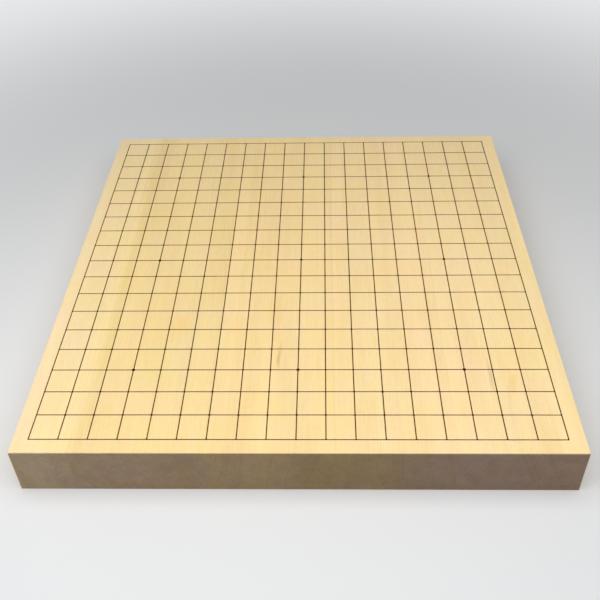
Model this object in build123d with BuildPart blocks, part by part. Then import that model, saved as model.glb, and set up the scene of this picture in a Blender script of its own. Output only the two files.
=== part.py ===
from build123d import *
import os

# A thick tabletop go board. Five wooden staves are glued edge to edge into one slab. Raised
# lacquer lines rule its playing face, lengthwise ones first and crosswise ones over them, and
# nine lacquer star points cover the crossings that players find their way by.
# X runs across the board, Y along it and away from the player, and Z up. The origin is the
# centre of the underside. Sizes are in millimetres.

# The grid
lines_per_side = 19
column_pitch = 22.0
row_pitch = 23.7

# The slab around and under the grid, which was ruled a little off the slab's middle
left_margin = 12.0
right_margin = 12.9
near_margin = 12.7
far_margin = 12.5
board_thickness = 43.0
edge_chamfer = 0.4

# The staves from the left. The right edge stave takes the rest of the board's width.
left_edge_stave_width = 42.8
left_stave_width = 99.9
centre_stave_width = 96.1
right_stave_width = 89.0
glue_thickness = 0.1

# The lacquer
line_width = 0.8
line_height = 0.1
star_diameter = 2.8
star_cover = 0.08
lines_per_star_step = 6

# Worked out from the sizes above
last_line = lines_per_side - 1
grid_width = last_line * column_pitch
grid_length = last_line * row_pitch
board_width = left_margin + grid_width + right_margin
board_length = near_margin + grid_length + far_margin
first_column = left_margin - board_width / 2
first_row = near_margin - board_length / 2
grid_x = first_column + grid_width / 2
grid_y = first_row + grid_length / 2
columns = [first_column + index * column_pitch for index in range(lines_per_side)]
rows = [first_row + index * row_pitch for index in range(lines_per_side)]
on_base = (Align.CENTER, Align.CENTER, Align.MIN)
on_line = (Align.CENTER, Align.MIN)


def slab_slice(left, right):
    """The stretch of the slab from x = left to x = right, with the slab's outer edges eased."""
    with BuildPart() as piece:
        Box(board_width, board_length, board_thickness, align=on_base)
        chamfer(piece.edges(), edge_chamfer)
        with Locations(((left + right) / 2, 0, 0)):
            Box(right - left, board_length, board_thickness, align=on_base, mode=Mode.INTERSECT)
    return piece


def lengthwise_stroke(x):
    """A lacquer line along the board at x, straight on the wood."""
    with BuildPart() as stroke:
        with Locations((x, grid_y, board_thickness)):
            Box(line_width, grid_length + line_width, line_height, align=on_base)
    return stroke


def crosswise_stroke():
    """A lacquer line across the board at y = 0, which climbs over every lengthwise line."""
    stroke_length = grid_width + line_width
    with BuildPart() as stroke:
        with BuildSketch(Plane.XZ):
            with Locations((grid_x, board_thickness)):
                Rectangle(stroke_length, line_height, align=on_line)
            with Locations(*[(x, board_thickness + line_height) for x in columns]):
                Trapezoid(line_width + 2 * line_height, line_height, 45, align=on_line)
            with Locations(*[(x, board_thickness) for x in columns]):
                Rectangle(line_width, line_height, align=on_line, mode=Mode.SUBTRACT)
            with Locations((grid_x, board_thickness)):
                Rectangle(stroke_length, 2 * line_height, align=on_line, mode=Mode.INTERSECT)
        extrude(amount=line_width / 2, both=True)
    return stroke


def star_dot(x, y, covered):
    """A low domed dot of lacquer at x, y that lies round and over the strokes it covers."""
    rim = line_height + star_cover
    crown = 2 * line_height + star_cover
    with BuildPart() as dot:
        with BuildSketch(Plane((x, y, board_thickness), x_dir=(1, 0, 0), z_dir=(0, -1, 0))):
            with BuildLine():
                Polyline((0, crown), (0, 0), (star_diameter / 2, 0), (star_diameter / 2, rim))
                TangentArc((0, crown), (star_diameter / 2, rim), tangent=(1, 0))
            make_face()
        revolve(axis=Axis((x, y, 0), (0, 0, 1)))
        for stroke in covered:
            add(stroke.part, mode=Mode.SUBTRACT)
    return dot


os.makedirs("parts", exist_ok=True)

# Staves, each beside the last with a glue line between
stave_widths = {
    "left_edge_stave": left_edge_stave_width,
    "left_stave": left_stave_width,
    "centre_stave": centre_stave_width,
    "right_stave": right_stave_width,
}
left = -board_width / 2
glue_faces = []
for name, width in stave_widths.items():
    stave = slab_slice(left, left + width)
    stave.part.label = name
    export_step(stave.part, f"parts/{name}.step")
    glue_faces.append(left + width)
    left += width + glue_thickness

right_edge_stave = slab_slice(left, board_width / 2)
right_edge_stave.part.label = "right_edge_stave"
export_step(right_edge_stave.part, "parts/right_edge_stave.step")

# Glue lines, which fill the joints flush with the slab's faces
for number, face in enumerate(glue_faces, start=1):
    glue_line = slab_slice(face, face + glue_thickness)
    glue_line.part.label = f"glue_line_{number}"
    export_step(glue_line.part, f"parts/glue_line_{number}.step")

# Lengthwise lines, numbered from the left
lengthwise_lines = []
for number, x in enumerate(columns, start=1):
    lengthwise_line = lengthwise_stroke(x)
    lengthwise_line.part.label = f"lengthwise_line_{number}"
    export_step(lengthwise_line.part, f"parts/lengthwise_line_{number}.step")
    lengthwise_lines.append(lengthwise_line)

# Crosswise lines, all alike, numbered from the player's side
stroke_across = crosswise_stroke()
crosswise_lines = []
for number, y in enumerate(rows, start=1):
    with BuildPart() as crosswise_line:
        with Locations((0, y, 0)):
            add(stroke_across.part)
    crosswise_line.part.label = f"crosswise_line_{number}"
    export_step(crosswise_line.part, f"parts/crosswise_line_{number}.step")
    crosswise_lines.append(crosswise_line)

# Star points where the middle lines and the lines a star step to each side of them cross
middle_line = last_line // 2
star_lines = [middle_line + step * lines_per_star_step for step in (-1, 0, 1)]
star_crossings = [(column, row) for row in star_lines for column in star_lines]
for number, (column, row) in enumerate(star_crossings, start=1):
    strokes = [lengthwise_lines[column], crosswise_lines[row]]
    star_point = star_dot(columns[column], rows[row], strokes)
    star_point.part.label = f"star_point_{number}"
    export_step(star_point.part, f"parts/star_point_{number}.step")
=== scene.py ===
"""Studio scene of a thick tabletop go board.

The board is a slab of five pale wooden staves, glued edge to edge, ruled with raised lacquer
lines and nine star points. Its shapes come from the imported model. This script gives each piece
its finish and sets the board on a plain pale floor under soft light. Lengths are in metres.
"""

from __future__ import annotations

import logging
import math
import random
from dataclasses import dataclass, field
from enum import Enum
from itertools import product

import bmesh
import bpy
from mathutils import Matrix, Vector


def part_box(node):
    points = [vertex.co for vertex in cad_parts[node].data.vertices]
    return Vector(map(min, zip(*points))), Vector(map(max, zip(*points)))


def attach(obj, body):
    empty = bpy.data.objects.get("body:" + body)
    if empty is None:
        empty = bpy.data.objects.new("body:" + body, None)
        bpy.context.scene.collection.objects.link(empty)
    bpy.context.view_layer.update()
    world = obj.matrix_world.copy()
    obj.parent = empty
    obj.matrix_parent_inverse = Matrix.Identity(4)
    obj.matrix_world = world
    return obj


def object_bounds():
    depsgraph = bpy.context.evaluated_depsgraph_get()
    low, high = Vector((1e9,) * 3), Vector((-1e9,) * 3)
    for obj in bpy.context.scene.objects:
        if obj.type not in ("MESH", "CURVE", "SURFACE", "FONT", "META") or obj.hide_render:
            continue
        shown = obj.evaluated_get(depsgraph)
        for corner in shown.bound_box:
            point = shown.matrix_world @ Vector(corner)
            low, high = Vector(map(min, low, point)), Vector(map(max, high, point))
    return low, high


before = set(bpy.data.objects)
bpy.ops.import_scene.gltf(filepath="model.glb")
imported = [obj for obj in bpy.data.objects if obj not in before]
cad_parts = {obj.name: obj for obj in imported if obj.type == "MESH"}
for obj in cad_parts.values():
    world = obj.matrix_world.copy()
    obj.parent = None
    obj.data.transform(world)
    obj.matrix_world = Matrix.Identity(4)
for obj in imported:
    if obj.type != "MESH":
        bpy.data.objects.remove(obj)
CAD_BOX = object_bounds()

Pair = tuple[float, float]
Triple = tuple[float, float, float]
Colour = Triple
Socket = bpy.types.NodeSocket
Sockets = tuple[Socket, ...]
Given = bpy.types.NodeOutputs
Feed = Socket | float | tuple[float, ...]

MM = 0.001
# Ranges that patterns are mapped from: all of a mask, and more or less of a noise
WHOLE = (0.0, 1.0)
BROAD = (0.25, 0.75)
NARROW = (0.3, 0.7)
log = logging.getLogger("tabletop_board")


def shade(red: float, green: float, blue: float) -> Colour:
    """Turns a colour written in display levels into the linear values that a shader takes.

    Args:
        red: Display level from 0 to 255.
        green: Display level from 0 to 255.
        blue: Display level from 0 to 255.

    Returns:
        The linear colour.
    """

    def linear(level: float) -> float:
        """Linear value of one display level."""
        part = level / 255
        return part / 12.92 if part <= 0.04045 else ((part + 0.055) / 1.055) ** 2.4

    return linear(red), linear(green), linear(blue)


class Part(Enum):
    """Kinds of node in the board, each with the start or end of its nodes' names."""

    STAVE = "_stave"
    GLUE = "glue_line_"
    LENGTHWISE = "lengthwise_line_"
    CROSSWISE = "crosswise_line_"
    STAR = "star_point_"

    def nodes(self) -> list[bpy.types.Object]:
        """The board's nodes of this kind, in the order of their names."""
        return [node for name, node in sorted(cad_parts.items()) if self.value in name]


class Graph:
    """Short, typed ways to add nodes to a shader node tree and to join them."""

    def __init__(self, tree: bpy.types.NodeTree) -> None:
        """Starts on an empty tree.

        Args:
            tree: Node tree of a material, a world or a node group.
        """
        self.tree = tree

    def node(self, kind: str, *values: Feed, **settings: object) -> bpy.types.Node:
        """Adds a node.

        Args:
            kind: Blender's type name of the node.
            *values: What goes into its inputs, in order.
            **settings: Properties to set on it.

        Returns:
            The new node.
        """
        made = self.tree.nodes.new(kind)
        for name, value in settings.items():
            setattr(made, name, value)
        for target, value in zip(made.inputs, values):
            self.feed(target, value)
        return made

    def feed(self, target: Socket, value: Feed) -> None:
        """Joins a socket to an input, or writes a plain value on it.

        Args:
            target: Input socket.
            value: Output socket, number, colour or vector.
        """
        if isinstance(value, Socket):
            self.tree.links.new(value, target)
        elif isinstance(value, tuple) and target.type == "RGBA":
            target.default_value = (*value, 1.0)
        else:
            target.default_value = value

    def fill(self, node: bpy.types.Node, **values: Feed) -> None:
        """Feeds a node's inputs by name, with _ for each space in a name."""
        for name, value in values.items():
            self.feed(node.inputs[name.replace("_", " ")], value)

    def math(self, operation: str, *values: Feed) -> Socket:
        """Result of a Math node."""
        return self.node("ShaderNodeMath", *values, operation=operation).outputs["Value"]

    def vector(self, operation: str, *values: Feed) -> Socket:
        """Vector from a Vector Math node, or the length where that is the operation."""
        made = self.node("ShaderNodeVectorMath", *values, operation=operation)
        return made.outputs["Value" if operation == "LENGTH" else "Vector"]

    def split(self, vector: Feed) -> Sockets:
        """The three components of a vector."""
        made = self.node("ShaderNodeSeparateXYZ", vector)
        return made.outputs["X"], made.outputs["Y"], made.outputs["Z"]

    def join(self, *components: Feed) -> Socket:
        """One vector from three components."""
        return self.node("ShaderNodeCombineXYZ", *components).outputs["Vector"]

    def position(self) -> Socket:
        """Where the shaded point is, in the board's frame."""
        return self.node("ShaderNodeTexCoord").outputs["Object"]

    def facing(self) -> Socket:
        """Which way the surface faces there."""
        return self.node("ShaderNodeNewGeometry").outputs["True Normal"]

    def noise(self, place: Feed, scale: Feed, detail: float, roughness: float = 0.5) -> Socket:
        """Adds cloudy noise.

        Args:
            place: Where it is read.
            scale: Cycles per unit of place, as one number or for each axis.
            detail: Number of finer layers.
            roughness: Weight of the finer layers.

        Returns:
            A value that stays near 0.5.
        """
        if isinstance(scale, tuple):
            place, scale = self.vector("MULTIPLY", place, scale), 1.0
        made = self.node("ShaderNodeTexNoise")
        self.fill(made, Vector=place, Scale=scale, Detail=detail, Roughness=roughness)
        return made.outputs["Fac"]

    def ramp(self, value: Feed, low: Feed, high: Feed, start: Feed = 0.0, end: Feed = 1.0) -> Socket:
        """Maps a value smoothly from one range to another, and no further.

        Args:
            value: What is mapped.
            low: Value that gives start.
            high: Value that gives end.
            start: Result at low.
            end: Result at high.

        Returns:
            The mapped value.
        """
        given = (value, low, high, start, end)
        made = self.node("ShaderNodeMapRange", *given, interpolation_type="SMOOTHSTEP")
        return made.outputs["Result"]

    def mix(self, share: Feed, first: Feed, second: Feed, mode: str = "MIX") -> Socket:
        """Mixes two colours.

        Args:
            share: Weight of the second colour.
            first: First colour.
            second: Second colour.
            mode: Name of the blend mode.

        Returns:
            The mixed colour.
        """
        made = self.node("ShaderNodeMix", data_type="RGBA", blend_type=mode)
        for index, value in ((0, share), (6, first), (7, second)):
            self.feed(made.inputs[index], value)
        return made.outputs[2]

    def times(self, colour: Feed, by: Feed) -> Socket:
        """One colour multiplied by another."""
        return self.mix(1.0, colour, by, "MULTIPLY")

    def tint(self, colour: Feed, amount: Feed) -> Socket:
        """A colour made lighter or darker by a factor."""
        return self.times(colour, self.join(amount, amount, amount))

    def bump(self, height: Feed, depth: float, strength: float) -> Socket:
        """Tilts the surface by a height pattern.

        Args:
            height: The pattern.
            depth: Its depth, in metres.
            strength: Share of the tilt that shows.

        Returns:
            The surface normal.
        """
        made = self.node("ShaderNodeBump")
        self.fill(made, Strength=strength, Distance=depth, Height=height)
        return made.outputs["Normal"]


class Effect:
    """A pattern that several finishes share, kept as one shader node group."""

    title: str
    vectors: tuple[str, ...] = ("Position",)
    numbers: tuple[str, ...] = ()
    gives: tuple[str, ...] = ("Mask",)

    def __init__(self) -> None:
        """Builds the node group."""
        self.tree = bpy.data.node_groups.new(self.title, "ShaderNodeTree")
        for names, way, kind in (
            (self.vectors, "INPUT", "NodeSocketVector"),
            (self.numbers, "INPUT", "NodeSocketFloat"),
            (self.gives, "OUTPUT", "NodeSocketFloat"),
        ):
            for name in names:
                self.tree.interface.new_socket(name=name, in_out=way, socket_type=kind)
        graph = Graph(self.tree)
        given = graph.node("NodeGroupInput").outputs
        graph.node("NodeGroupOutput", *self.wire(graph, given))

    def wire(self, graph: Graph, given: Given) -> Sockets:
        """Joins the nodes inside the group.

        Args:
            graph: The group's graph.
            given: What the group takes.

        Returns:
            One socket for each name in gives.
        """
        raise NotImplementedError

    def place(self, graph: Graph, **values: Feed) -> Sockets:
        """Puts the group into a material.

        Args:
            graph: The material's graph.
            **values: What goes into each input, with _ for the space in its name.

        Returns:
            The group's outputs, in the order of gives.
        """
        group = graph.node("ShaderNodeGroup", node_tree=self.tree)
        graph.fill(group, **values)
        return tuple(group.outputs[name] for name in self.gives)


class GrowthRings(Effect):
    """Yearly rings about the tree's centre, which lies along the board, and rays across them."""

    title = "growth rings"
    numbers = ("Pith Across", "Pith Height", "Spacing")
    gives = ("Latewood", "Year", "Spell", "Rays")
    slow_wander = (9.0, 1.6, 9.0)
    quick_wander = (46.0, 4.0, 46.0)
    slow_rings = 13.0
    quick_rings = 1.1
    latewood_rise = (0.25, 0.9)
    latewood_drop = (0.9, 1.0)
    year_strength = (0.15, 1.0)
    years_in_spell = 6.0
    spell_strength = (0.4, 1.2)
    ray_scale = (1000.0, 170.0, 30.0)

    def wire(self, graph: Graph, given: Given) -> Sockets:
        """Joins the nodes: a slow rise to dark latewood in each ring, then a quick drop.

        Args:
            graph: The group's graph.
            given: What the group takes.

        Returns:
            One socket for each name in gives.
        """
        x, y, z = graph.split(given["Position"])
        across = graph.math("SUBTRACT", x, given["Pith Across"])
        height = graph.math("SUBTRACT", z, given["Pith Height"])
        radius = graph.vector("LENGTH", graph.join(across, 0.0, height))
        slow = graph.noise(given["Position"], self.slow_wander, 3.0)
        quick = graph.noise(given["Position"], self.quick_wander, 1.0)
        rings = graph.math("DIVIDE", radius, given["Spacing"])
        phase = graph.math("MULTIPLY_ADD", slow, self.slow_rings, rings)
        phase = graph.math("MULTIPLY_ADD", quick, self.quick_rings, phase)
        cycle = graph.math("FRACT", phase)
        rise = graph.ramp(cycle, *self.latewood_rise)
        drop = graph.ramp(cycle, *self.latewood_drop, 1.0, 0.0)
        number = graph.node("ShaderNodeTexWhiteNoise", noise_dimensions="1D")
        graph.fill(number, W=graph.math("FLOOR", phase))
        year = number.outputs["Value"]
        years = graph.join(graph.math("DIVIDE", phase, self.years_in_spell), 0.0, 0.0)
        spell = graph.ramp(graph.noise(years, 1.0, 2.0), *NARROW)
        strength = graph.ramp(year, 0.1, 1.0, *self.year_strength)
        strength = graph.math("MULTIPLY", strength, graph.ramp(spell, *WHOLE, *self.spell_strength))
        latewood = graph.math("MULTIPLY", graph.math("MULTIPLY", rise, drop), strength)
        turned = graph.join(graph.math("ARCTAN2", height, across), radius, y)
        return latewood, year, spell, graph.noise(turned, self.ray_scale, 1.0)


class Grain(Effect):
    """A pattern that is stretched along the board."""

    numbers = ("Width", "Length")

    def wire(self, graph: Graph, given: Given) -> Sockets:
        """Joins the nodes: the pattern, read at a place measured in its width and length.

        Args:
            graph: The group's graph.
            given: What the group takes.

        Returns:
            One socket for each name in gives.
        """
        across = graph.math("DIVIDE", 1.0, given["Width"])
        along = graph.math("DIVIDE", 1.0, given["Length"])
        scale = graph.join(across, along, across)
        return self.pattern(graph, graph.vector("MULTIPLY", given["Position"], scale))

    def pattern(self, graph: Graph, place: Socket) -> Sockets:
        """The pattern itself, as one socket for each name in gives."""
        raise NotImplementedError

    def spread(self, graph: Graph, position: Socket, size: Pair) -> Sockets:
        """The group's outputs in a material, for a width and length in metres."""
        return self.place(graph, Position=position, Width=size[0], Length=size[1])


class Fibres(Grain):
    """Fine fibres that run along the board, and the open pores between them."""

    title = "wood fibres"
    gives = ("Tone", "Pores")
    pore_shift = (7.3, 1.9, 4.1)
    pore_span = (0.62, 0.74)

    def pattern(self, graph: Graph, place: Socket) -> Sockets:
        """Fine noise, and the peaks of coarser noise."""
        coarse = graph.noise(graph.vector("ADD", place, self.pore_shift), 1.6, 1.0)
        return graph.noise(place, 1.0, 3.0, 0.6), graph.ramp(coarse, *self.pore_span)


class Clouds(Grain):
    """Broad soft drifts of tone and warmth."""

    title = "broad drifts"
    gives = ("Light", "Warmth")
    warmth_shift = (3.7, 8.1, 5.2)

    def pattern(self, graph: Graph, place: Socket) -> Sockets:
        """Two separate cloudy patterns."""
        warmth = graph.noise(graph.vector("ADD", place, self.warmth_shift), 0.7, 2.0)
        return graph.ramp(graph.noise(place, 1.0, 3.0), *BROAD), graph.ramp(warmth, *NARROW)


class Mark(Effect):
    """A soft streak of colour in the wood, long with the grain, with ragged edges."""

    title = "streak in the wood"
    vectors = ("Position", "Centre", "Reach")
    numbers = ("Lean", "Bow")
    fray_scale = (420.0, 60.0, 420.0)
    fray_depth = 0.9
    heart = 0.15

    def wire(self, graph: Graph, given: Given) -> Sockets:
        """Joins the nodes: an ellipsoid about the centre, bent and frayed by noise.

        Args:
            graph: The group's graph.
            given: What the group takes.

        Returns:
            The mask, which is 1 at the streak's heart.
        """
        x, y, z = graph.split(graph.vector("SUBTRACT", given["Position"], given["Centre"]))
        fray = graph.math("SUBTRACT", graph.noise(given["Position"], self.fray_scale, 2.0), 0.5)
        bend = graph.math("MULTIPLY", y, graph.math("MULTIPLY_ADD", y, given["Bow"], given["Lean"]))
        moved = graph.join(graph.math("SUBTRACT", x, bend), y, z)
        distance = graph.vector("LENGTH", graph.vector("DIVIDE", moved, given["Reach"]))
        ragged = graph.math("MULTIPLY_ADD", fray, self.fray_depth, distance)
        return (graph.ramp(ragged, self.heart, 1.0, 1.0, 0.0),)


class EndGrain(Effect):
    """Where a surface cuts across the fibres, at the board's ends."""

    title = "end grain"
    vectors = ("Normal",)
    turn = (0.5, 0.9)

    def wire(self, graph: Graph, given: Given) -> Sockets:
        """Joins the nodes: the share of the normal that points along the board."""
        _, y, _ = graph.split(given["Normal"])
        return (graph.ramp(graph.math("ABSOLUTE", y), *self.turn),)


class EdgeRubAndHighlight(Effect):
    """A band along the slab's outer edges, burnished by hands and cloths, plus a painted highlight."""

    title = "rubbed edges"
    vectors = ("Position", "Half Size")
    numbers = ("Reach",)
    wobbles_in_metre = 90.0

    def wire(self, graph: Graph, given: Given) -> Sockets:
        """Joins the nodes: an edge is where the second nearest face is close.

        Args:
            graph: The group's graph.
            given: What the group takes.

        Returns:
            The mask, which is 1 at an edge.
        """
        _, _, half_height = graph.split(given["Half Size"])
        middle = graph.join(0.0, 0.0, half_height)
        away = graph.vector("ABSOLUTE", graph.vector("SUBTRACT", given["Position"], middle))
        side, end, face = graph.split(graph.vector("SUBTRACT", given["Half Size"], away))
        nearer = graph.math("MINIMUM", side, end)
        further = graph.math("MAXIMUM", side, end)
        second = graph.math("MAXIMUM", nearer, graph.math("MINIMUM", further, face))
        wobble = graph.noise(given["Position"], self.wobbles_in_metre, 3.0)
        reach = graph.math("MULTIPLY", given["Reach"], graph.math("ADD", wobble, 0.5))
        return (graph.ramp(second, 0.0, reach, 1.0, 0.0),)


class Effects:
    """The shared effects, each built once."""

    def __init__(self) -> None:
        """Builds them."""
        self.rings = GrowthRings()
        self.fibres = Fibres()
        self.clouds = Clouds()
        self.mark = Mark()
        self.end_grain = EndGrain()
        self.edge_rub_and_highlight = EdgeRubAndHighlight()


@dataclass(frozen=True)
class Streak:
    """One natural mark in a stave, with lengths in millimetres.

    Attributes:
        across: Place across the board from its middle.
        along: Place along the board from its middle.
        width: Half its width.
        length: Half its length.
        colour: Colour at its heart.
        strength: Weight of that colour there.
        lean: Run to the right for each unit along the board.
        bow: Bend to the right towards both its ends, for each metre of the length squared.
        depth: Place of its middle below the playing face.
        sink: How far it reaches up and down from there.
    """

    across: float
    along: float
    width: float
    length: float
    colour: Colour
    strength: float
    lean: float = 0.0
    bow: float = 0.0
    depth: float = 0.0
    sink: float = 12.0


def zone(across: float, width: float, colour: Colour, strength: float) -> Streak:
    """A tone of the end grain that runs the board's whole length, partly the wood's own and partly
    painted shade.

    Args:
        across: Place across the board from its middle, in millimetres.
        width: Half its width, in millimetres.
        colour: Colour at its heart.
        strength: Weight of that colour there.

    Returns:
        The streak.
    """
    return Streak(across, 0.0, width, 4000.0, colour, strength, depth=21.0, sink=60.0)


@dataclass(frozen=True)
class Figure:
    """How the tree shows in one stave, with lengths in metres.

    Attributes:
        face: Colour of its planed face.
        end: Colour of its end grain, partly the wood's own and partly painted shade.
        pith_across: The tree's centre across the board from its middle.
        pith_height: The tree's centre above the underside.
        ring_spacing: Mean width of a year's ring.
        shift: Slide of the grain along the board, so that no two staves match.
        streaks: Its natural marks.
        zones: Tones that show in its end grain alone, partly the wood's own and partly painted shade.
    """

    face: Colour
    end: Colour
    pith_across: float
    pith_height: float
    ring_spacing: float
    shift: float
    streaks: tuple[Streak, ...] = ()
    zones: tuple[Streak, ...] = ()


MINERAL = shade(190, 142, 70)
SOOT = shade(146, 118, 84)
RESIN = shade(232, 180, 112)
AMBER = shade(240, 194, 76)
SHADOW = shade(206, 175, 76)
PALE = shade(241, 215.5, 158)
PALE_EDGE = shade(251, 226, 169)
ROSE = shade(244, 214, 166)

# The end colours and end-grain zones are partly the wood's own tone and partly painted shade, which
# darkens the ends from the left staves to the right.
FIGURES = {
    "left_edge_stave": Figure(
        shade(241.3, 217.8, 165.5), shade(187, 166, 138), -0.55, -0.02, 0.0021, 0.37,
        (Streak(-212, 0, 18, 700, shade(240, 217, 175), 0.6),),
        zones=(zone(-168, 22, shade(175, 152, 126), 0.6),),
    ),
    "left_stave": Figure(
        shade(237, 211.5, 153.5), shade(176.5, 153, 125.5), -0.36, -0.10, 0.0024, 1.21,
        (
            Streak(-167.5, 0, 7, 600, PALE, 0.8),
            Streak(-158.5, 40, 7, 420, SHADOW, 0.13),
            Streak(-162, 120, 9, 55, AMBER, 0.08),
            Streak(-101, -88, 13, 16, AMBER, 0.24),
            Streak(-78, 40, 16, 420, SHADOW, 0.06),
        ),
        (zone(-168, 20, shade(181, 158, 130), 0.6), zone(-86, 26, shade(170, 147, 116), 0.7)),
    ),
    "centre_stave": Figure(
        shade(239.5, 212.5, 156), shade(178, 154.5, 119), 0.33, -0.06, 0.0019, 2.43,
        (
            Streak(-16.6, -131.5, 2.0, 13.5, MINERAL, 0.42, 0.0, 10.0),
            Streak(-15.5, -118, 3.4, 11, MINERAL, 0.17),
            Streak(-21, -74, 12, 46, RESIN, 0.16),
            Streak(-17, -107, 8, 13, AMBER, 0.16),
        ),
        (zone(15, 34, shade(159, 136.5, 96), 0.7),),
    ),
    "right_stave": Figure(
        shade(243, 216.5, 162.5), shade(168, 145, 108.5), 0.47, 0.11, 0.0022, 3.17,
        (
            Streak(52, 40, 18, 420, shade(226, 201, 148), 0.3),
            Streak(52, -32, 8, 20, RESIN, 0.12),
            Streak(104, -100, 30, 190, ROSE, 0.5),
        ),
        (zone(104, 44, shade(163, 139, 124), 0.8),),
    ),
    "right_edge_stave": Figure(
        shade(244.5, 218, 163.5), shade(165, 141.5, 123.5), -0.21, -0.16, 0.0023, 4.05,
        (
            Streak(134, -120, 24, 170, ROSE, 0.55),
            Streak(202, 0, 24, 700, PALE_EDGE, 0.5),
            Streak(151.2, -148, 2.2, 22, SOOT, 0.26),
            Streak(167, -158, 5, 20, RESIN, 0.16, 0.28),
            Streak(167, -156, 6, 18, AMBER, 0.16, 0.28),
            Streak(126, -186, 4, 14, RESIN, 0.08),
        ),
    ),
}


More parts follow.
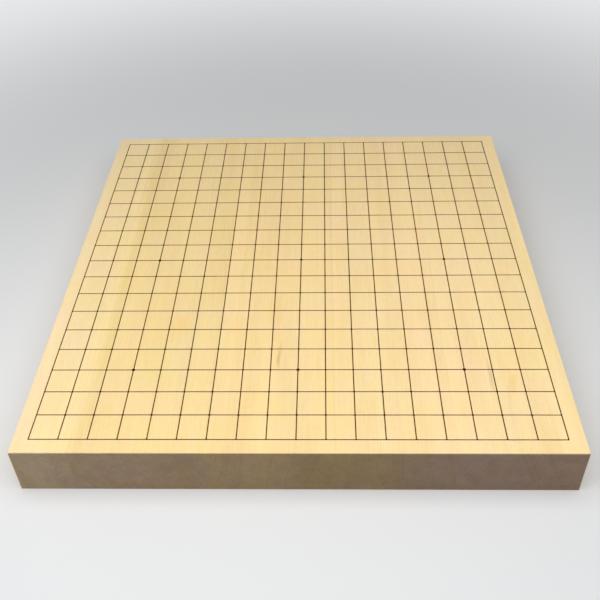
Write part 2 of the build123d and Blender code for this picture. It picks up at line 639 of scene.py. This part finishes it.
@dataclass(frozen=True)
class WoodFinish:
    """Planed, pale softwood under a thin rub of wax.

    The size of a pattern is its width and length in metres, and its tone is how far it makes the
    wood lighter and darker.

    Attributes:
        ring_tint: What latewood does to it.
        end_ring_tint: What latewood does to it where the board is cut across.
        warm_tint: What the warm drifts do to it.
        pale_tint: What the pale blotches do to it.
        yellow_tint: What the yellow blotches between them do to it.
        rosy_tint: What the rosy blotches do to it.
        cool_tint: What the cooler blotches between them do to it.
        warm_share: Most that the warm drifts do.
        rub_and_highlight: How much lighter the rubbed edges are, on side grain and on end grain:
            partly real burnish and partly a painted highlight.
        rub_and_highlight_reach: Width of the rubbed edges that carry the painted highlight, in metres.
        fibre: Size of a bundle of fibres.
        band: Size of the coarse bands of fibres.
        fleck: Size of the flecks across the grain.
        drift: Size of the broad drifts.
        blotch: Size of the blotches.
        speckle: Cycles per metre of the fine end grain, and its tone.
        mottle: Cycles per metre of the coarse end grain, and its tone.
        cell_scale: Cycles per metre of both along the board.
        ray_tone: Tone of the rays in the end grain.
        drift_tone: Tone of the drifts.
        year_tone: Tone of the differences from year to year.
        spell_tone: Tone of the differences between spells of years.
        band_tone: Tone of the bands.
        fleck_tone: Tone of the flecks.
        fibre_tone: Tone of the fibres.
        pore_dark: How much darker the open pores are.
        roughness: Roughness of side grain and of end grain.
        band_rough: How far the bands change it either way.
        rub_smooth: How much smoother the rubbed edges are.
        gloss: Strength of the wax's sheen.
        latewood_height: Height of latewood, as a share of the fibres' height.
        pore_depth: Depth of the open pores, as a share of the fibres' height.
        relief: Depth of the planed surface, in metres, and the strength of its bump.
    """

    ring_tint: Colour = (0.98, 0.962, 0.91)
    end_ring_tint: Colour = (0.88, 0.845, 0.79)
    warm_tint: Colour = (1.0, 0.975, 0.93)
    pale_tint: Colour = (1.004, 1.0, 1.035)
    yellow_tint: Colour = (0.998, 0.992, 0.93)
    rosy_tint: Colour = (1.012, 0.984, 0.998)
    cool_tint: Colour = (0.992, 1.008, 0.992)
    warm_share: float = 0.8
    rub_and_highlight: Pair = (0.04, 0.12)
    rub_and_highlight_reach: float = 0.0016
    fibre: Pair = (0.00022, 0.014)
    band: Pair = (0.0014, 0.035)
    fleck: Pair = (0.008, 0.0018)
    drift: Pair = (0.022, 0.26)
    blotch: Pair = (0.02, 0.032)
    speckle: Pair = (600.0, 0.06)
    mottle: Pair = (95.0, 0.055)
    cell_scale: float = 5.0
    ray_tone: float = 0.05
    drift_tone: float = 0.025
    year_tone: float = 0.006
    spell_tone: float = 0.007
    band_tone: float = 0.012
    fleck_tone: float = 0.01
    fibre_tone: float = 0.045
    pore_dark: float = 0.08
    roughness: Pair = (0.46, 0.62)
    band_rough: float = 0.03
    rub_smooth: float = 0.06
    gloss: float = 0.26
    latewood_height: float = 0.35
    pore_depth: float = 0.6
    relief: Pair = (0.00003, 0.35)

    def material(self, name: str, figure: Figure, effects: Effects) -> bpy.types.Material:
        """Makes the wood of one stave.

        Args:
            name: Name of the material.
            figure: How the tree shows in the stave.
            effects: The shared effects.

        Returns:
            The material.
        """
        made, graph, shader = new_material(name)
        position = graph.position()
        slid = graph.vector("ADD", position, (0.0, figure.shift, 0.0))
        light, warmth = effects.clouds.spread(graph, slid, self.drift)
        latewood, year, spell, rays = effects.rings.place(
            graph,
            Position=slid,
            Pith_Across=figure.pith_across,
            Pith_Height=figure.pith_height,
            Spacing=figure.ring_spacing,
        )
        fine, pores = effects.fibres.spread(graph, slid, self.fibre)
        bands, _ = effects.fibres.spread(graph, slid, self.band)
        flecks, _ = effects.fibres.spread(graph, slid, self.fleck)
        rosy, blotch = effects.clouds.spread(graph, slid, self.blotch)
        (cut,) = effects.end_grain.place(graph, Normal=graph.facing())
        half = (CAD_BOX[1] - CAD_BOX[0]) / 2
        (rubbed_and_highlit,) = effects.edge_rub_and_highlight.place(
            graph, Position=position, Half_Size=tuple(half), Reach=self.rub_and_highlight_reach
        )

        warm = graph.math("MULTIPLY", warmth, self.warm_share)
        colour = graph.mix(warm, figure.face, graph.times(figure.face, self.warm_tint))
        colour = self.streaked(graph, colour, position, figure.streaks, effects)
        # The end grain's colour here is partly painted shade.
        across = self.streaked(graph, figure.end, position, figure.zones, effects)
        colour = graph.mix(cut, colour, across)
        ring = graph.mix(cut, self.ring_tint, self.end_ring_tint)
        colour = graph.mix(latewood, colour, graph.times(colour, ring))
        for pattern, span, tone in (
            (light, WHOLE, self.drift_tone),
            (year, WHOLE, self.year_tone),
            (spell, WHOLE, -self.spell_tone),
            (bands, NARROW, self.band_tone),
            (flecks, NARROW, self.fleck_tone),
            (fine, BROAD, self.fibre_tone),
        ):
            colour = graph.tint(colour, graph.ramp(pattern, *span, 1 - tone, 1 + tone))
        colour = graph.times(colour, graph.mix(blotch, self.pale_tint, self.yellow_tint))
        colour = graph.times(colour, graph.mix(rosy, self.cool_tint, self.rosy_tint))
        colour = graph.tint(colour, graph.math("MULTIPLY_ADD", pores, -self.pore_dark, 1.0))
        cells = self.cut_cells(graph, slid, rays)
        colour = graph.tint(colour, graph.math("MULTIPLY_ADD", cells, cut, 1.0))
        # Painted highlight: the rubbed edges are made lighter, partly for real burnish and partly for
        # the light their eased edges catch.
        lighter = graph.math("MULTIPLY", rubbed_and_highlit, graph.ramp(cut, *WHOLE, *self.rub_and_highlight))
        colour = graph.tint(colour, graph.math("ADD", lighter, 1.0))

        rough = graph.ramp(cut, *WHOLE, *self.roughness)
        uneven = graph.ramp(bands, *NARROW, -self.band_rough, self.band_rough)
        rough = graph.math("ADD", rough, uneven)
        rough = graph.math("MULTIPLY_ADD", rubbed_and_highlit, -self.rub_smooth, rough)
        height = graph.math("MULTIPLY_ADD", latewood, self.latewood_height, fine)
        height = graph.math("MULTIPLY_ADD", pores, -self.pore_depth, height)
        graph.fill(shader, Base_Color=colour, Roughness=rough, Specular_IOR_Level=self.gloss)
        graph.fill(shader, Normal=graph.bump(height, *self.relief))
        return made

    def cut_cells(self, graph: Graph, position: Socket, rays: Socket) -> Socket:
        """Adds up the tones of the cells and rays in the end grain.

        Args:
            graph: The material's graph.
            position: Where they are read.
            rays: Pattern of the rays.

        Returns:
            A value about 0.
        """
        tone = graph.ramp(rays, *NARROW, -self.ray_tone, self.ray_tone)
        for scale, depth in (self.speckle, self.mottle):
            cells = graph.noise(position, (scale, self.cell_scale, scale), 3.0, 0.6)
            tone = graph.math("ADD", tone, graph.ramp(cells, *NARROW, -depth, depth))
        return tone

    @staticmethod
    def streaked(
        graph: Graph, colour: Feed, position: Socket, streaks: tuple[Streak, ...], effects: Effects
    ) -> Feed:
        """Lays natural marks over the wood's colour.

        Args:
            graph: The material's graph.
            colour: Colour so far.
            position: Where the shaded point is, in the board's frame.
            streaks: The marks.
            effects: The shared effects.

        Returns:
            The colour with the marks.
        """
        for streak in streaks:
            height = playing_face() - streak.depth * MM
            (mask,) = effects.mark.place(
                graph,
                Position=position,
                Centre=(streak.across * MM, streak.along * MM, height),
                Reach=(streak.width * MM, streak.length * MM, streak.sink * MM),
                Lean=streak.lean,
                Bow=streak.bow,
            )
            share = graph.math("MULTIPLY", mask, streak.strength)
            colour = graph.mix(share, colour, streak.colour)
        return colour


@dataclass(frozen=True)
class GlueFinish:
    """Cured wood glue, a clear amber, planed flush with the staves.

    Attributes:
        amber: Its colour on the faces.
        dark: Its colour where it is thicker.
        end_tone: Its colour at the board's ends, darker than on the faces.
        dark_share: Most that the thicker places do.
        cloud: Width and length of those places, in metres.
        roughness: Least and most roughness.
        ripple: Cycles per metre of its surface.
        relief: Depth of its surface, in metres, and the strength of its bump.
    """

    amber: Colour = shade(226, 192, 132)
    dark: Colour = shade(205, 166, 104)
    end_tone: Colour = shade(158, 134, 100)
    dark_share: float = 0.7
    cloud: Pair = (0.006, 0.03)
    roughness: Pair = (0.36, 0.48)
    ripple: float = 900.0
    relief: Pair = (0.00002, 0.4)

    def material(self, effects: Effects) -> bpy.types.Material:
        """Makes the glue.

        Args:
            effects: The shared effects.

        Returns:
            The material.
        """
        made, graph, shader = new_material("cured glue")
        position = graph.position()
        light, warmth = effects.clouds.spread(graph, position, self.cloud)
        (cut,) = effects.end_grain.place(graph, Normal=graph.facing())
        colour = graph.mix(graph.math("MULTIPLY", light, self.dark_share), self.amber, self.dark)
        colour = graph.mix(cut, colour, self.end_tone)
        rough = graph.ramp(warmth, *WHOLE, *self.roughness)
        surface = graph.bump(graph.noise(position, self.ripple, 3.0), *self.relief)
        graph.fill(shader, Base_Color=colour, Roughness=rough, Normal=surface)
        return made


@dataclass(frozen=True)
class LacquerFinish:
    """Brown black lacquer, drawn on as a low bead that dries satin. It is darker where it is thick.

    Attributes:
        film: Its colour in the film at its foot, through which the wood shows.
        thin: Its two colours where one coat lies on the wood.
        thick: Its two colours at the crossings and star points, where it lies on itself.
        film_height: Heights over the wood where the film ends and one coat starts, in metres.
        coat_height: Heights over the wood where one coat ends and two start, in metres.
        cloud: Width and length of its lighter places, in metres.
        roughness: Least and most roughness.
        gloss: Strength of its sheen.
        ripple: Cycles per metre of its surface.
        relief: Depth of its surface, in metres, and the strength of its bump.
    """

    film: Colour = shade(172, 132, 72)
    thin: tuple[Colour, Colour] = ((0.048, 0.015, 0.001), (0.092, 0.031, 0.002))
    thick: tuple[Colour, Colour] = ((0.02, 0.007, 0.001), (0.038, 0.013, 0.002))
    film_height: Pair = (0.00001, 0.00003)
    coat_height: Pair = (0.00011, 0.00018)
    cloud: Pair = (0.004, 0.004)
    roughness: Pair = (0.36, 0.5)
    gloss: float = 0.04
    ripple: float = 1600.0
    relief: Pair = (0.00003, 0.5)

    def material(self, effects: Effects) -> bpy.types.Material:
        """Makes the lacquer.

        Args:
            effects: The shared effects.

        Returns:
            The material.
        """
        made, graph, shader = new_material("lacquer")
        position = graph.position()
        light, warmth = effects.clouds.spread(graph, position, self.cloud)
        _, _, z = graph.split(position)
        height = graph.math("SUBTRACT", z, playing_face())
        thin = graph.mix(light, *self.thin)
        thick = graph.mix(light, *self.thick)
        colour = graph.mix(graph.ramp(height, *self.film_height), self.film, thin)
        colour = graph.mix(graph.ramp(height, *self.coat_height), colour, thick)
        rough = graph.ramp(warmth, *WHOLE, *self.roughness)
        surface = graph.bump(graph.noise(position, self.ripple, 2.0), *self.relief)
        graph.fill(shader, Base_Color=colour, Roughness=rough, Specular_IOR_Level=self.gloss)
        graph.fill(shader, Normal=surface)
        return made


def new_material(name: str) -> tuple[bpy.types.Material, Graph, bpy.types.Node]:
    """Makes a material that holds one Principled shader.

    Args:
        name: Name of the material.

    Returns:
        The material, the graph of its tree and its shader.
    """
    made = bpy.data.materials.new(name)
    made.use_nodes = True
    made.node_tree.nodes.clear()
    graph = Graph(made.node_tree)
    shader = graph.node("ShaderNodeBsdfPrincipled")
    graph.node("ShaderNodeOutputMaterial", shader.outputs["BSDF"])
    return made, graph, shader


def add_object(name: str, data: bpy.types.ID) -> bpy.types.Object:
    """Adds an object to the scene.

    Args:
        name: Name of the object.
        data: Its mesh, lamp or camera.

    Returns:
        The object.
    """
    made = bpy.data.objects.new(name, data)
    bpy.context.scene.collection.objects.link(made)
    return made


def playing_face() -> float:
    """Height of the wood that the lines are drawn on, in metres."""
    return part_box("centre_stave")[1].z


def dress(node: bpy.types.Object, material: bpy.types.Material) -> None:
    """Gives a node one material in place of its plain one.

    Args:
        node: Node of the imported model.
        material: Its new finish.
    """
    for slot in node.material_slots:
        slot.material = material
    log.info("dressed %s in %s", node.name, material.name)


@dataclass
class Slab:
    """The five staves and the glue lines between them.

    Attributes:
        effects: The shared effects.
        wood: Finish of the staves.
        glue: Finish of the glue lines.
    """

    effects: Effects
    wood: WoodFinish = WoodFinish()
    glue: GlueFinish = GlueFinish()

    def build(self) -> None:
        """Dresses every stave in its own wood, and the glue lines alike."""
        for stave in Part.STAVE.nodes():
            name = stave.name.replace("_", " ")
            dress(stave, self.wood.material(name, FIGURES[stave.name], self.effects))
        cured = self.glue.material(self.effects)
        for line in Part.GLUE.nodes():
            dress(line, cured)


@dataclass
class LacquerGrid:
    """The ruled lines and star points, just proud of the wood, and the lacquer that ran from them.

    Lengths are in metres.

    Attributes:
        effects: The shared effects.
        lacquer: Finish of the lines and star points.
        bead_radius: Radius of the lacquer's soft edges.
        bead_steps: Number of faces across a soft edge.
        sharp: Edges that bend more than this are softened, in degrees.
        weld_distance: Corners closer than this are one corner.
        creep: How far the lacquer crept along the lines where they cross.
        creep_edge: Thickness of its edge there.
        creep_peak: Its thickness deep in the corner, as a share of the lines' height.
        uneven: How much the creep and the film's width differ from place to place, as a share.
        hollow_steps: Number of edges round the hollow of each corner.
        foot: Width of the film along each side of the lengthwise lines.
        foot_height: Thickness of that film beside the line and at its edge.
        foot_steps: Number of stretches that it is made in.
        tuck: How far the crept lacquer and the film go under the lines' soft edges.
        seed: Seed of the differences.
    """

    effects: Effects
    lacquer: LacquerFinish = LacquerFinish()
    bead_radius: float = 0.000045
    bead_steps: int = 2
    sharp: float = 30.0
    weld_distance: float = 0.000001
    creep: float = 0.0008
    creep_edge: float = 0.00003
    creep_peak: float = 0.9
    uneven: float = 0.25
    hollow_steps: int = 4
    foot: float = 0.00006
    foot_height: Pair = (0.00002, 0.000002)
    foot_steps: int = 54
    tuck: float = 0.0001
    seed: int = 19

    def build(self) -> None:
        """Rounds and dresses every line and star point, and adds the lacquer that ran from them."""
        lacquer = self.lacquer.material(self.effects)
        for kind in (Part.LENGTHWISE, Part.CROSSWISE, Part.STAR):
            for stroke in kind.nodes():
                self.round_edges(stroke)
                dress(stroke, lacquer)
        run = {"pooled_lacquer": self.pool_corners(), "lacquer_film": self.wet_edges()}
        for name, shape in run.items():
            bmesh.ops.recalc_face_normals(shape, faces=shape.faces)
            mesh = bpy.data.meshes.new(name)
            shape.to_mesh(mesh)
            shape.free()
            mesh.materials.append(lacquer)
            piece = add_object(name, mesh)
            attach(piece, "root")
            log.info("made %s with %d faces", name, len(mesh.polygons))

    def round_edges(self, stroke: bpy.types.Object) -> None:
        """Softens a stroke's edges, as surface tension does before the lacquer dries.

        Args:
            stroke: Line or star point.
        """
        weld = stroke.modifiers.new("joined corners", "WELD")
        weld.merge_threshold = self.weld_distance
        bevel = stroke.modifiers.new("soft edges", "BEVEL")
        bevel.width = self.bead_radius
        bevel.segments = self.bead_steps
        bevel.limit_method = "ANGLE"
        bevel.angle_limit = math.radians(self.sharp)
        bevel.harden_normals = True

    def pool_corners(self) -> bmesh.types.BMesh:
        """Makes the lacquer that ran together where lines cross, all but at the star points.

        Returns:
            Its mesh.
        """
        columns = [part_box(line.name) for line in Part.LENGTHWISE.nodes()]
        rows = [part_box(line.name) for line in Part.CROSSWISE.nodes()]
        stars = [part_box(star.name) for star in Part.STAR.nodes()]
        left = min(low.x for low, _ in columns)
        right = max(high.x for _, high in columns)
        near = min(low.y for low, _ in rows)
        far = max(high.y for _, high in rows)
        height = columns[0][1].z - columns[0][0].z
        chance = random.Random(self.seed)
        shape = bmesh.new()
        for (west, east), (south, north) in product(columns, rows):
            x, y = (west.x + east.x) / 2, (south.y + north.y) / 2
            if any(low.x < x < high.x and low.y < y < high.y for low, high in stars):
                continue
            corners = product(((west.x, -1), (east.x, 1)), ((south.y, -1), (north.y, 1)))
            for (x, turn_x), (y, turn_y) in corners:
                reach = self.creep * (1 + self.uneven * chance.uniform(-1, 1))
                if left < x < right and near < y < far:
                    self.fill_corner(shape, Vector((x, y)), Vector((turn_x, turn_y)), reach, height)
        return shape

    def fill_corner(
        self, shape: bmesh.types.BMesh, corner: Vector, turn: Vector, reach: float, height: float
    ) -> None:
        """Adds the lacquer in one corner of a crossing, hollow towards the open wood.

        Args:
            shape: Mesh to add it to.
            corner: Where the edges of the two lines meet.
            turn: 1 or -1 for each axis, away from the crossing.
            reach: How far it creeps along each line.
            height: Height of the lines over the wood.
        """
        hollow = [math.radians(90 * step / self.hollow_steps) for step in range(self.hollow_steps + 1)]
        outline = [(reach, -self.tuck)]
        outline += [(reach * (1 - math.sin(angle)), reach * (1 - math.cos(angle))) for angle in hollow]
        outline += [(-self.tuck, reach), (-self.tuck, -self.tuck)]
        wood = playing_face()
        top = []
        base = []
        for along, out in outline:
            x, y = corner.x + turn.x * along, corner.y + turn.y * out
            inmost = along < 0 and out < 0
            thickness = height * self.creep_peak if inmost else self.creep_edge
            top.append(shape.verts.new((x, y, wood + thickness)))
            base.append(shape.verts.new((x, y, wood)))
        for loop in (top, base):
            for first, second in zip(loop[:-2], loop[1:-1]):
                shape.faces.new((loop[-1], first, second))
        for index, vertex in enumerate(top):
            shape.faces.new((base[index - 1], base[index], vertex, top[index - 1]))

    def wet_edges(self) -> bmesh.types.BMesh:
        """Makes the film of lacquer along both sides of the lengthwise lines.

        Returns:
            Its mesh.
        """
        chance = random.Random(self.seed + 1)
        shape = bmesh.new()
        for line in Part.LENGTHWISE.nodes():
            low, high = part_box(line.name)
            for x, turn in ((low.x, -1), (high.x, 1)):
                self.wet_edge(shape, x, turn, (low.y, high.y), chance)
        return shape

    def wet_edge(
        self, shape: bmesh.types.BMesh, x: float, turn: int, ends: Pair, chance: random.Random
    ) -> None:
        """Adds the film along one side of a lengthwise line.

        Args:
            shape: Mesh to add it to.
            x: Where the line's side is.
            turn: 1 or -1, away from the line.
            ends: Where it starts and ends along the board.
            chance: Source of the differences in its width.
        """
        wood = playing_face()
        inner, outer = self.foot_height
        rings = []
        for step in range(self.foot_steps + 1):
            y = ends[0] + (ends[1] - ends[0]) * step / self.foot_steps
            reach = self.foot * (1 + self.uneven * chance.uniform(-1, 1))
            profile = ((-self.tuck, 0.0), (reach, 0.0), (reach, outer), (-self.tuck, inner))
            rings.append([shape.verts.new((x + turn * out, y, wood + up)) for out, up in profile])
        for first, second in zip(rings, rings[1:]):
            for index in range(len(first)):
                shape.faces.new((first[index - 1], first[index], second[index], second[index - 1]))
        shape.faces.new(rings[0])
        shape.faces.new(rings[-1])


@dataclass(frozen=True)
class Lamp:
    """A soft rectangular lamp turned to the board.

    Attributes:
        place: Its middle, in metres.
        size: Its sides, in metres.
        power: Its power, in watts.
    """

    place: Triple
    size: Pair
    power: float

    def hang(self, name: str) -> None:
        """Adds the lamp to the scene.

        Args:
            name: Name of the lamp.
        """
        lamp = bpy.data.lights.new(name, "AREA")
        lamp.shape = "RECTANGLE"
        lamp.size, lamp.size_y = self.size
        lamp.energy = self.power
        hung = add_object(name, lamp)
        hung.location = self.place
        hung.rotation_euler = (-Vector(self.place)).to_track_quat("-Z", "Y").to_euler()
        hung.visible_camera = False


@dataclass
class Studio:
    """Pale floor, soft light and the camera.

    Attributes:
        floor_size: Side of the floor, in metres.
        floor_shade: Floor as the camera sees it.
        floor_bounce: Floor as it lights the board's sides.
        floor_rough: Roughness of the floor.
        floor_gloss: Strength of its sheen.
        haze: Distances from the board at which the floor starts and ends its fade into the
            backdrop, in metres.
        backdrop: Colour of the room behind, and of the floor far away.
        ambient: Strength of the light from all round.
        lamps: The lamps by name. The key lamp hangs over the board, and the fill lamps stand low
            round it.
        lens: Focal length on a sensor 36 mm wide, in millimetres.
        eye: Place of the camera, in metres.
        aim: Tilt, roll and pan of the camera, in degrees.
    """

    floor_size: float = 14.0
    floor_shade: Colour = shade(226, 227, 228)
    floor_bounce: Colour = (0.22, 0.22, 0.22)
    floor_rough: float = 0.9
    floor_gloss: float = 0.1
    haze: Pair = (0.28, 1.0)
    backdrop: Colour = shade(232, 233, 234)
    ambient: float = 0.14
    lamps: dict[str, Lamp] = field(
        default_factory=lambda: {
            "key lamp": Lamp((-0.03, -0.27, 0.63), (1.05, 0.80), 5.8),
            "near fill": Lamp((-0.74, -0.55, 0.38), (0.5, 0.5), 1.0),
            "far fill": Lamp((0.10, 1.25, 0.28), (1.2, 0.5), 2.1),
            "left fill": Lamp((-1.25, 0.43, 0.28), (1.2, 0.5), 2.6),
            "right fill": Lamp((1.25, -0.11, 0.28), (1.2, 0.5), 2.55),
        }
    )
    lens: float = 48.884
    eye: Triple = (0.02017, -0.5969, 0.51017)
    aim: Triple = (49.136, 1.248, 1.112)

    def build(self) -> None:
        """Sets up the floor, the light, the camera and the view."""
        self.lay_floor()
        self.light_room()
        for name, lamp in self.lamps.items():
            lamp.hang(name)
        self.place_camera()
        bpy.context.scene.view_settings.view_transform = "Standard"

    @staticmethod
    def seen(graph: Graph) -> Socket:
        """Tells rays from the camera, also by way of a gloss or clear surface, from all others.

        Args:
            graph: Graph of the material or the world.

        Returns:
            1 for those rays and 0 for others.
        """
        path = graph.node("ShaderNodeLightPath").outputs
        gloss = graph.math("MAXIMUM", path["Is Glossy Ray"], path["Is Transmission Ray"])
        return graph.math("MAXIMUM", path["Is Camera Ray"], gloss)

    def lay_floor(self) -> None:
        """Makes the floor, which fades into the backdrop far from the board."""
        half = self.floor_size / 2
        corners = [(-half, -half, 0.0), (half, -half, 0.0), (half, half, 0.0), (-half, half, 0.0)]
        mesh = bpy.data.meshes.new("floor")
        mesh.from_pydata(corners, [], [(0, 1, 2, 3)])
        floor = add_object("floor", mesh)

        made, graph, shader = new_material("pale floor")
        seen = self.seen(graph)
        colour = graph.mix(seen, self.floor_bounce, self.floor_shade)
        graph.fill(shader, Base_Color=colour, Roughness=self.floor_rough)
        graph.fill(shader, Specular_IOR_Level=self.floor_gloss)
        haze = graph.node("ShaderNodeEmission", self.backdrop)
        far = graph.ramp(graph.vector("LENGTH", graph.position()), *self.haze)
        share = graph.math("MULTIPLY", far, seen)
        surfaces = (shader.outputs["BSDF"], haze.outputs["Emission"])
        blend = graph.node("ShaderNodeMixShader", share, *surfaces)
        output = next(node for node in made.node_tree.nodes if node.type == "OUTPUT_MATERIAL")
        graph.fill(output, Surface=blend.outputs["Shader"])
        mesh.materials.append(made)

    def light_room(self) -> None:
        """Makes the room: pale where it is seen, and a weak even light elsewhere."""
        world = bpy.data.worlds.new("room")
        world.use_nodes = True
        world.node_tree.nodes.clear()
        graph = Graph(world.node_tree)
        even = (self.ambient, self.ambient, self.ambient)
        colour = graph.mix(self.seen(graph), even, self.backdrop)
        background = graph.node("ShaderNodeBackground", colour)
        graph.node("ShaderNodeOutputWorld", background.outputs["Background"])
        bpy.context.scene.world = world

    def place_camera(self) -> None:
        """Stands the camera where the photograph was taken from."""
        camera = bpy.data.cameras.new("camera")
        camera.lens = self.lens
        camera.clip_start = 0.01
        stand = add_object("camera", camera)
        stand.location = self.eye
        stand.rotation_euler = [math.radians(angle) for angle in self.aim]
        bpy.context.scene.camera = stand


def main() -> None:
    """Dresses the board and sets up the studio."""
    logging.basicConfig(level=logging.INFO, format="%(name)s: %(message)s")
    effects = Effects()
    Slab(effects).build()
    LacquerGrid(effects).build()
    Studio().build()


if __name__ == "__main__":
    main()
